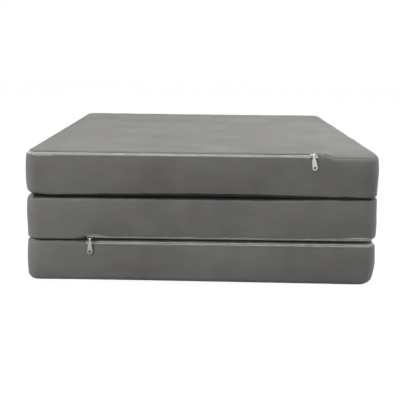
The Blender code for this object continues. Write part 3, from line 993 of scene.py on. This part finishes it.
    def kept_moves(
        self, moves: np.ndarray, pairs: np.ndarray, normals: np.ndarray, gaps: np.ndarray
    ) -> np.ndarray:
        """Even out the moves, hold the rims, limit the swelling, and keep the cloth off the tapes.

        Args:
            moves: One move per vertex.
            pairs: The two vertices of each edge.
            normals: Outward direction at each vertex.
            gaps: Distance of each vertex from the nearest rim.

        Returns:
            The share of each move that the skin keeps.
        """
        count = np.bincount(pairs.ravel(), minlength=len(moves))[:, None]
        for _ in range(self.sim_softening):
            total = np.zeros_like(moves)
            np.add.at(total, pairs[:, 0], moves[pairs[:, 1]])
            np.add.at(total, pairs[:, 1], moves[pairs[:, 0]])
            moves = 0.5 * moves + 0.5 * total / count
        outward = (moves * normals).sum(axis=1)
        along = moves - normals * outward[:, None]
        sizes = np.maximum(np.linalg.norm(along, axis=1), 1e-9)
        along *= (self.sim_cap * np.tanh(sizes / self.sim_cap) / sizes)[:, None]
        free = np.clip((gaps - self.held_rim) / self.held_fade, 0.0, 1.0)
        deep = np.clip((gaps - self.tape_cover) / self.held_fade, 0.0, 1.0)
        swell = self.sim_swell * np.tanh(np.maximum(outward, 0.0) / self.sim_swell) * free
        sink = self.sim_cap * np.tanh(np.minimum(outward, 0.0) / self.sim_cap) * deep
        return along * free[:, None] + normals * (swell + sink)[:, None]

    def tame(self, bm: Shape) -> None:
        """Keep the skin in its own room: clear of its neighbours and flat on the floor.

        Args:
            bm: The skin, which is moved in place.
        """
        s = self.section
        room = s.half_height + s.shape.crown + self.crown_room
        wide, deep = s.half_width + self.side_room, s.half_depth + self.side_room
        most = (wide, deep, room + (self.open_room if s.free_above else 0.0))
        least = (-wide, -deep, -(s.half_height if s.flat_below else room))
        for vert in bm.verts:
            vert.co = [min(max(v, low), high) for v, low, high in zip(vert.co, least, most)]

    def part_of(self, face: bmesh.types.BMFace, layers: list) -> Part | None:
        """Cloth part that a face belongs to.

        Args:
            face: Face of the divided cube.
            layers: The int layers that hold each vertex's grid place.

        Returns:
            The part, or None in the slot that the zip closes.
        """
        s, rows = self.section, self.slot_rows
        places = [[v[layer] for v in face.verts] for layer in layers]
        if max(places[2]) == 0:
            return Part.PLAIN_PANEL
        x, y = [(ruler[min(at)] + ruler[max(at)]) / 2 for ruler, at in zip(self.grid[:2], places)]
        on_front = max(places[1]) <= rows and x > s.slot_start
        on_side = min(places[0]) >= self.last[0] - rows and y < s.slot_end
        if min(places[2]) >= self.last[2] - rows and (on_front or on_side):
            return None
        return Part.ZIP_PANEL if min(places[2]) == self.last[2] else Part.BORDER

    def build(self) -> list[Piece]:
        """Make the three cloth parts and the foam core.

        Returns:
            The pieces made.
        """
        shell = self.shell()
        layers = [shell.verts.layers.int[name] for name in ("ix", "iy", "iz")]
        shell.faces.ensure_lookup_table()
        parts = {f.index: self.part_of(f, layers) for f in shell.faces}
        made = []
        for part in Part:
            bm = shell.copy()
            bm.faces.ensure_lookup_table()
            gone = [f for f in bm.faces if parts[f.index] is not part]
            bmesh.ops.delete(bm, geom=gone, context="FACES")
            made.append(self.cloth_piece(bm, part))
        shell.free()
        made.append(self.foam())
        return made

    def cloth_piece(self, bm: Shape, part: Part) -> Piece:
        """Give one cloth part its thickness and its place in the world.

        Args:
            bm: The part in the section's local metres; it is freed.
            part: Which part it is.

        Returns:
            The piece.
        """
        s = self.section
        for vert in bm.verts:
            vert.co = s.world(*vert.co)
        if s.hand * s.up < 0:
            bmesh.ops.reverse_faces(bm, faces=bm.faces)
        # The darker copy of the cloth on a border is painted shade.
        finish = SHADED_CLOTH if part is Part.BORDER and s.painted_shade_border else CLOTH
        piece = finished(f"{s.name}_{part.value}_cloth", bm, finish, s.body, smooth=60.0)
        wall = piece.modifiers.new("thickness", "SOLIDIFY")
        wall.thickness = s.shape.cloth
        wall.offset = -1.0
        wall.use_even_offset = False
        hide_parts(f"{s.name}_{part.value}")
        return piece

    def foam_point(self, p: Vector, half: Vector) -> Vector:
        """Carry a point of the divided cube onto the foam's rounded, slightly crowned block.

        Args:
            p: Point of the cube, measured from the foam's centre.
            half: Half the foam's sides.

        Returns:
            The point carried.
        """
        e = self.section.shape
        radius, edge = e.foam_edge_radius, half.z - e.crown
        p.z *= edge / half.z
        turned = p.xy
        core, off = past_corner(p, half, e.plan_radius - e.cloth)
        if off[0] and off[1]:
            size = max(abs(off[0]), abs(off[1])) / math.hypot(*off)
            turned = [c + o * size for c, o in zip(core, off)]
        inset = min(half.x - abs(p.x), half.y - abs(p.y))
        if inset < radius:
            over, rise = radius - inset, max(abs(p.z) - edge + radius, 0.0)
            size = max(over, rise) / math.hypot(over, rise)
            share = (half.x - radius + over * size) / (half.x - inset)
            level = edge - radius + rise * size if rise > 0.0 else abs(p.z)
            return Vector((turned[0] * share, turned[1] * share, math.copysign(level, p.z)))
        if abs(p.z) > edge - TINY and not (self.section.flat_below and p.z < 0.0):
            p.z += math.copysign(self.section.crown_at(inset, True), p.z)
        return Vector((*turned, p.z))

    def foam(self) -> Piece:
        """Foam core inside the cover, crowned and softly rounded.

        Returns:
            The piece.
        """
        s = self.section
        low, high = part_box(s.name + "_foam_core")
        half = (high - low) / 2
        centre = (low + high) / 2
        bm = divided_cube([self.ruler(h, self.foam_rows, self.foam_cell, []) for h in half])
        for vert in bm.verts:
            place = self.foam_point(vert.co, half)
            give = s.give_at(Vector((s.hand * place.x, place.y, s.up * place.z)))
            vert.co = place + Vector((s.hand * give.x, 0.0, s.up * give.z)) + centre
        bmesh.ops.recalc_face_normals(bm, faces=bm.faces)
        piece = finished(s.name + "_foam_block", bm, FOAM, s.body, smooth=50.0)
        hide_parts(s.name + "_foam_core")
        return piece


@dataclass
class ZipFastener:
    """Tapes, coil, stitching, slider, pull and stops of one section's zip."""

    section: Section
    stop_margin: float = 0.0045
    far_margin: float = 0.0075
    tape_inner: float = 0.0013
    tape_top: float = 0.00727
    tape_lip: float = 0.0085
    tape_bends: tuple = (31, 42, 54)
    tape_thickness: float = 0.0006
    tape_overrun: float = 0.009
    pitch: float = 0.00127
    wire: float = 0.00047
    coil_reach: float = 0.0026
    coil_gap: float = 0.00015
    coil_low: float = 0.00757
    coil_high: float = 0.00957
    points_a_turn: int = 8
    stitch_length: float = 0.0027
    stitch_step: float = 0.0036
    stitch_radius: float = 0.00028
    stitch_lift: float = 0.00005
    stitch_inset: float = 0.0022
    stitch_start: float = 0.006

    def __post_init__(self) -> None:
        """Lay the zip's line and find where its coil begins and ends."""
        self.path = ZipPath(self.section)
        head = self.stop_margin + self.section.shape.slider_length
        ends = (head, self.far_margin)
        if self.section.closed is Closed.SIDE:
            ends = (self.far_margin, head)
        self.head, self.tail = ends[0], self.path.length - ends[1]

    def build(self) -> list[Piece]:
        """Make every piece of the zip.

        Returns:
            The pieces made.
        """
        made = []
        for side in Side:
            made += [self.tape(side), self.coil(side), self.stitches(side)]
        return made + self.metal_pieces()

    def tape(self, side: Side) -> Piece:
        """Woven tape of one half, flat beside the coil and tucked under the cloth's lip.

        Args:
            side: Side of the zip.

        Returns:
            The piece.
        """
        faces = []
        for drop in (0.0, self.tape_thickness):
            radius = self.tape_lip - drop
            angles = [math.radians(bend) for bend in self.tape_bends]
            bends = [(radius * math.sin(a), radius * math.cos(a)) for a in angles]
            faces.append([(self.tape_inner, self.tape_top - drop), *bends])
        outline = [(side.value * a, h) for a, h in faces[0] + faces[1][::-1]]
        s = self.section
        bm = self.path.sweep(outline, -self.tape_overrun, self.path.length + self.tape_overrun)
        piece = finished(f"{s.name}_zip_tape_{side.label}_weave", bm, TAPE, s.body)
        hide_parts(f"{s.name}_zip_tape_{side.label}")
        return piece

    def coil(self, side: Side) -> Piece:
        """One half of the closed chain, a monofilament wound in a flattened helix.

        Args:
            side: Side of the zip.

        Returns:
            The piece.
        """
        s = self.section
        reach = self.coil_reach / 2 - self.wire
        rise = (self.coil_high - self.coil_low) / 2 - self.wire
        centre = self.coil_gap + self.coil_reach / 2
        middle = (self.coil_high + self.coil_low) / 2
        count = int((self.tail - self.head) / self.pitch * self.points_a_turn)
        offset = 0.5 if side is Side.PANEL else 0.0
        curve = bpy.data.curves.new(f"{s.name}_coil_{side.label}", "CURVE")
        curve.dimensions = "3D"
        spline = curve.splines.new("POLY")
        spline.points.add(count - 1)
        for k in range(count):
            turn = k / self.points_a_turn
            angle = math.tau * (turn + offset)
            across = side.value * (centre + reach * math.cos(angle))
            height = middle + rise * math.sin(angle)
            point = self.path.point(self.head + turn * self.pitch, across, height)
            spline.points[k].co = (*point, 1.0)
        curve.bevel_depth = self.wire
        curve.bevel_resolution = 1
        curve.use_fill_caps = True
        piece = dressed(f"{s.name}_zip_coil_{side.label}_wire", curve, COIL)
        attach(piece, s.body)
        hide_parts(f"{s.name}_zip_coil_{side.label}")
        return piece

    def stitches(self, side: Side) -> Piece:
        """Row of top stitches that holds the cloth's folded lip to the tape.

        Args:
            side: Side of the zip.

        Returns:
            The piece.
        """
        s = self.section
        radius = s.shape.edge_radius + self.stitch_lift
        angle = s.shape.lip_angle + self.stitch_inset / radius
        if side is Side.BORDER:
            angle += s.border_lip_extra
        sample = bmesh.new()
        size = (self.stitch_length / 2, self.stitch_radius, self.stitch_radius)
        bmesh.ops.create_uvsphere(sample, u_segments=6, v_segments=4, radius=1.0)
        bmesh.ops.rotate(sample, verts=sample.verts, matrix=Matrix.Rotation(math.pi / 2, 3, "Y"))
        bmesh.ops.scale(sample, verts=sample.verts, vec=size)
        unit = mesh_of("stitch", sample)
        bm = bmesh.new()
        count = int((self.path.length - 2 * self.stitch_start) / self.stitch_step)
        offset = Vector((0.0, side.value * radius * math.sin(angle), radius * math.cos(angle)))
        laid = Matrix.Translation(offset) @ Matrix.Rotation(-side.value * angle, 4, "X")
        for k in range(count):
            before = len(bm.verts)
            bm.from_mesh(unit)
            bm.verts.ensure_lookup_table()
            place = self.path.basis(self.stitch_start + k * self.stitch_step) @ laid
            bmesh.ops.transform(bm, matrix=place, verts=bm.verts[before:])
        bmesh.ops.recalc_face_normals(bm, faces=bm.faces)
        bpy.data.meshes.remove(unit)
        return finished(f"{s.name}_zip_stitches_{side.label}", bm, THREAD, s.body)

    def metal_pieces(self) -> list[Piece]:
        """Slider, pull and stops: the solids' own shapes with softened edges.

        Returns:
            The pieces made.
        """
        s = self.section
        # The top pull takes the paler copy of the nickel (painted light); the lower pulls take the darker
        # copy (painted shade).
        pull_metal = LIT_PULL_NICKEL if s.free_above else SHADED_PULL_NICKEL
        wanted = {
            "zip_slider": (s.name + "_slider", METAL, 0.00022),
            "zip_pull": (s.name + "_pull", pull_metal, 0.0003),
            "zip_stop_panel_side": (s.body, METAL, 0.00015),
            "zip_stop_border_side": (s.body, METAL, 0.00015),
            "zip_end_stop": (s.body, METAL, 0.00015),
        }
        made = []
        for kind, (body, metal, width) in wanted.items():
            node = f"{s.name}_{kind}"
            bm = bmesh.new()
            bm.from_mesh(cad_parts[node].data)
            bmesh.ops.remove_doubles(bm, verts=bm.verts, dist=0.000002)
            bmesh.ops.dissolve_limit(bm, verts=bm.verts, edges=bm.edges, angle_limit=math.radians(1.0))
            piece = finished(f"{node}_plated", bm, metal, body, smooth=35.0)
            soft = piece.modifiers.new("soft_edges", "BEVEL")
            soft.width = width
            soft.segments = 3
            soft.limit_method = "ANGLE"
            soft.angle_limit = math.radians(38)
            soft.use_clamp_overlap = True
            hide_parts(node)
            made.append(piece)
        return made


@dataclass
class HingeStrip:
    """Cloth strip that hinges two sections together along one edge."""

    node: str
    lower: Section
    upper: Section
    rows: int = 26
    columns: int = 120
    thickness: float = 0.0008
    clearance: float = 0.0003
    last_angle: float = math.radians(78)
    fold_inset: float = 0.0098
    fold_share: float = 0.4
    wave_rate: float = 16.0
    wave_layer: float = 4.0
    wave_size: float = 0.0004

    @property
    def half_gap(self) -> float:
        """Half the distance between the two sections' edge planes."""
        return (self.upper.middle - self.lower.middle) / 2 - self.upper.half_height

    def leaf_point(self, section: Section, place: tuple, share: float) -> tuple[float, float]:
        """A point of one leaf's middle line, from its seam down the rounding to the fold.

        Args:
            section: The section that the leaf is sewn to.
            place: World x and y of the strip there.
            share: From 1 at the seam to 0 at the fold's tip.

        Returns:
            Inset from the widest plane, and distance from the middle of the gap.
        """
        e = section.shape
        above = section is (self.upper if section.up < 0 else self.lower)
        radius = section.edge_radius_at(section.hand * place[0], place[1], above)
        reach = radius + self.clearance + self.thickness / 2
        along = max(share - self.fold_share, 0.0) / (1.0 - self.fold_share)
        angle = self.last_angle + (e.slot_tilt - self.last_angle) * along
        inset = e.side_bulge + radius - reach * math.cos(angle)
        height = self.half_gap + radius - reach * math.sin(angle)
        if share < self.fold_share:
            turn = share / self.fold_share * math.pi / 2
            inset = self.fold_inset - (self.fold_inset - inset) * (1.0 - math.cos(turn))
            height *= math.sin(turn)
        return inset, height

    def rise_at(self, place: Vector) -> float:
        """Rise of the upper section's lower edge over a place.

        Args:
            place: World point on the strip.

        Returns:
            The rise in metres.
        """
        over = self.upper
        foot = Vector((over.hand * place.x, place.y, -over.up * over.half_height))
        return over.up * over.give_at(foot).z

    def build(self) -> Piece:
        """Make the folded strip.

        Returns:
            The strip.
        """
        low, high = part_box(self.node)
        face = 1.0 if high.y > 0 else -1.0
        middle = (low.z + high.z) / 2
        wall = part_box("middle_cover_border")[1].y
        half = (high.x - low.x) / 2
        bm = bmesh.new()
        bmesh.ops.create_grid(bm, x_segments=self.columns, y_segments=self.rows, size=1.0)
        for vert in bm.verts:
            across, share = vert.co.x, vert.co.y
            section = self.upper if share > 0.0 else self.lower
            inset, height = self.leaf_point(section, (across * half, face * wall), abs(share))
            wave = noise.noise(Vector((across * self.wave_rate, self.wave_layer, 0.0)))
            inset += wave * self.wave_size * (1.0 - share * share)
            height = middle + math.copysign(height, share)
            place = Vector((across * half, face * (wall - inset), height))
            place.z += self.rise_at(place) * max(share, 0.0)
            vert.co = place
        bmesh.ops.recalc_face_normals(bm, faces=bm.faces)
        bmesh.ops.solidify(bm, geom=bm.faces[:], thickness=self.thickness)
        bmesh.ops.recalc_face_normals(bm, faces=bm.faces)
        mesh = mesh_of(self.node, bm)
        mesh.shade_smooth()
        # The near-black strip cloth is painted shade in the crease.
        piece = dressed(self.node + "_cloth", mesh, PAINTED_SHADE_STRIP)
        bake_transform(piece)
        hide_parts(self.node)
        return piece


@dataclass
class Studio:
    """Pale floor, soft lamps and the camera of the photograph."""

    lens: float = 57.45
    eye: tuple = (0.0020, -1.4252, 0.4318)
    pitch: float = math.radians(7.168)
    roll: float = math.radians(0.646)
    yaw: float = math.radians(0.344)
    rise: float = -0.1905
    floor_size: float = 6.0
    floor_drop: float = 0.0002
    floor_grey: Colour = (0.52, 0.52, 0.52, 1.0)
    floor_glow: float = 1.18
    floor_glow_seen: float = 0.82
    world_light: float = 0.13

    def build(self) -> None:
        """Make the floor, the world, the lamps and the camera."""
        self.floor()
        self.world()
        self.lamp("top_light", (0.45, 0.0, 1.7), aim=(0.05, 0.05, 0.2), size=1.9, power=20.5)
        self.lamp("front_light", (-1.85, -1.15, 1.60), aim=(-0.1, -0.2, 0.1), size=0.8, power=40.0)
        self.lamp("side_light", (1.35, -0.20, 0.40), aim=(0.3, -0.25, 0.15), size=0.4, power=4.6)
        self.camera()

    def floor(self) -> None:
        """Floor that the camera sees as white and that keeps the stack's shadow."""
        bm = bmesh.new()
        bmesh.ops.create_grid(bm, x_segments=1, y_segments=1, size=self.floor_size)
        mesh = mesh_of("studio_floor", bm)
        floor = linked("studio_floor", mesh)
        floor.location.z = -self.floor_drop
        material = bpy.data.materials.new("studio_floor")
        material.use_nodes = True
        graph, nodes = NodeGraph(material.node_tree), material.node_tree.nodes
        shader = nodes["Principled BSDF"]
        graph.fill(shader, {"Base Color": self.floor_grey, "Roughness": 0.9})
        camera_ray = graph.add("LightPath").outputs["Is Camera Ray"]
        glow = graph.add("Emission", {"Color": WHITE, "Strength": self.floor_glow})
        seen = graph.math("MULTIPLY", camera_ray, self.floor_glow_seen)
        mixed = graph.add("MixShader", {0: seen, 1: shader.outputs[0], 2: glow.outputs[0]})
        graph.fill(nodes["Material Output"], {"Surface": mixed.outputs[0]})
        mesh.materials.append(material)

    def world(self) -> None:
        """Even pale surround, pure white where the camera or a reflection sees it."""
        world = bpy.data.worlds.new("studio")
        bpy.context.scene.world = world
        world.use_nodes = True
        graph = NodeGraph(world.node_tree)
        light = graph.add("LightPath").outputs
        seen = graph.math("MAXIMUM", light["Is Camera Ray"], light["Is Glossy Ray"])
        seen = graph.math("MAXIMUM", seen, light["Is Transmission Ray"])
        strength = graph.spread(seen, 0.0, 1.0, self.world_light, 1.0)
        graph.fill(world.node_tree.nodes["Background"], {"Color": WHITE, "Strength": strength})

    def lamp(self, name: str, place: tuple, aim: tuple, size: float, power: float) -> None:
        """Square soft lamp turned towards a point.

        Args:
            name: Name of the lamp.
            place: Where it hangs.
            aim: Point that it faces.
            size: Length of its side.
            power: Its power in watts.
        """
        data = bpy.data.lights.new(name, "AREA")
        data.shape = "SQUARE"
        data.size = size
        data.energy = power
        lamp = linked(name, data)
        lamp.location = place
        lamp.rotation_mode = "QUATERNION"
        lamp.rotation_quaternion = (Vector(aim) - Vector(place)).to_track_quat("-Z", "Y")

    def camera(self) -> None:
        """Camera at the photograph's angle."""
        data = bpy.data.cameras.new("camera")
        data.lens = self.lens
        data.sensor_width = 36.0
        data.shift_y = self.rise
        camera = linked("camera", data)
        turns = ((self.yaw, "Z"), (math.pi / 2 - self.pitch, "X"), (self.roll, "Z"))
        place = Matrix.Translation(self.eye)
        for angle, axis in turns:
            place = place @ Matrix.Rotation(angle, 4, axis)
        camera.matrix_world = place
        bpy.context.scene.camera = camera


def main() -> None:
    """Dress the three sections, the strips between them and the studio."""
    logging.basicConfig(level=logging.INFO, format="%(message)s")
    bpy.context.scene.view_settings.view_transform = "Standard"
    bottom = Section(
        "bottom", up=1, hand=1, closed=Closed.SIDE, front_setback=0.1046, flat_below=True,
        full_edge=0.45, tuck=0.008, foot_lift=0.0034, lift_centre=-0.24, lift_run=0.42, seed=3.1,
    )
    middle = Section(
        "middle", up=-1, hand=1, closed=Closed.FRONT, front_setback=0.1046, full_edge=1.0,
        full_foot=(0.12, 0.24), border_lip_extra=math.radians(13), seed=11.7,
    )
    top = Section(
        "top", up=1, hand=-1, closed=Closed.FRONT, front_setback=0.1085, free_above=True,
        full_foot=(0.305, 0.270), painted_shade_border=True, sag=0.0045, foot_lift=0.0042, seed=23.9,
    )
    for section in (bottom, middle, top):
        for piece in Cushion(section).build() + ZipFastener(section).build():
            LOG.info("made %s", piece.name)
    for strip in (
        HingeStrip("hinge_strip_back", bottom, middle),
        HingeStrip("hinge_strip_front", middle, top),
    ):
        LOG.info("made %s", strip.build().name)
    Studio().build()


if __name__ == "__main__":
    main()
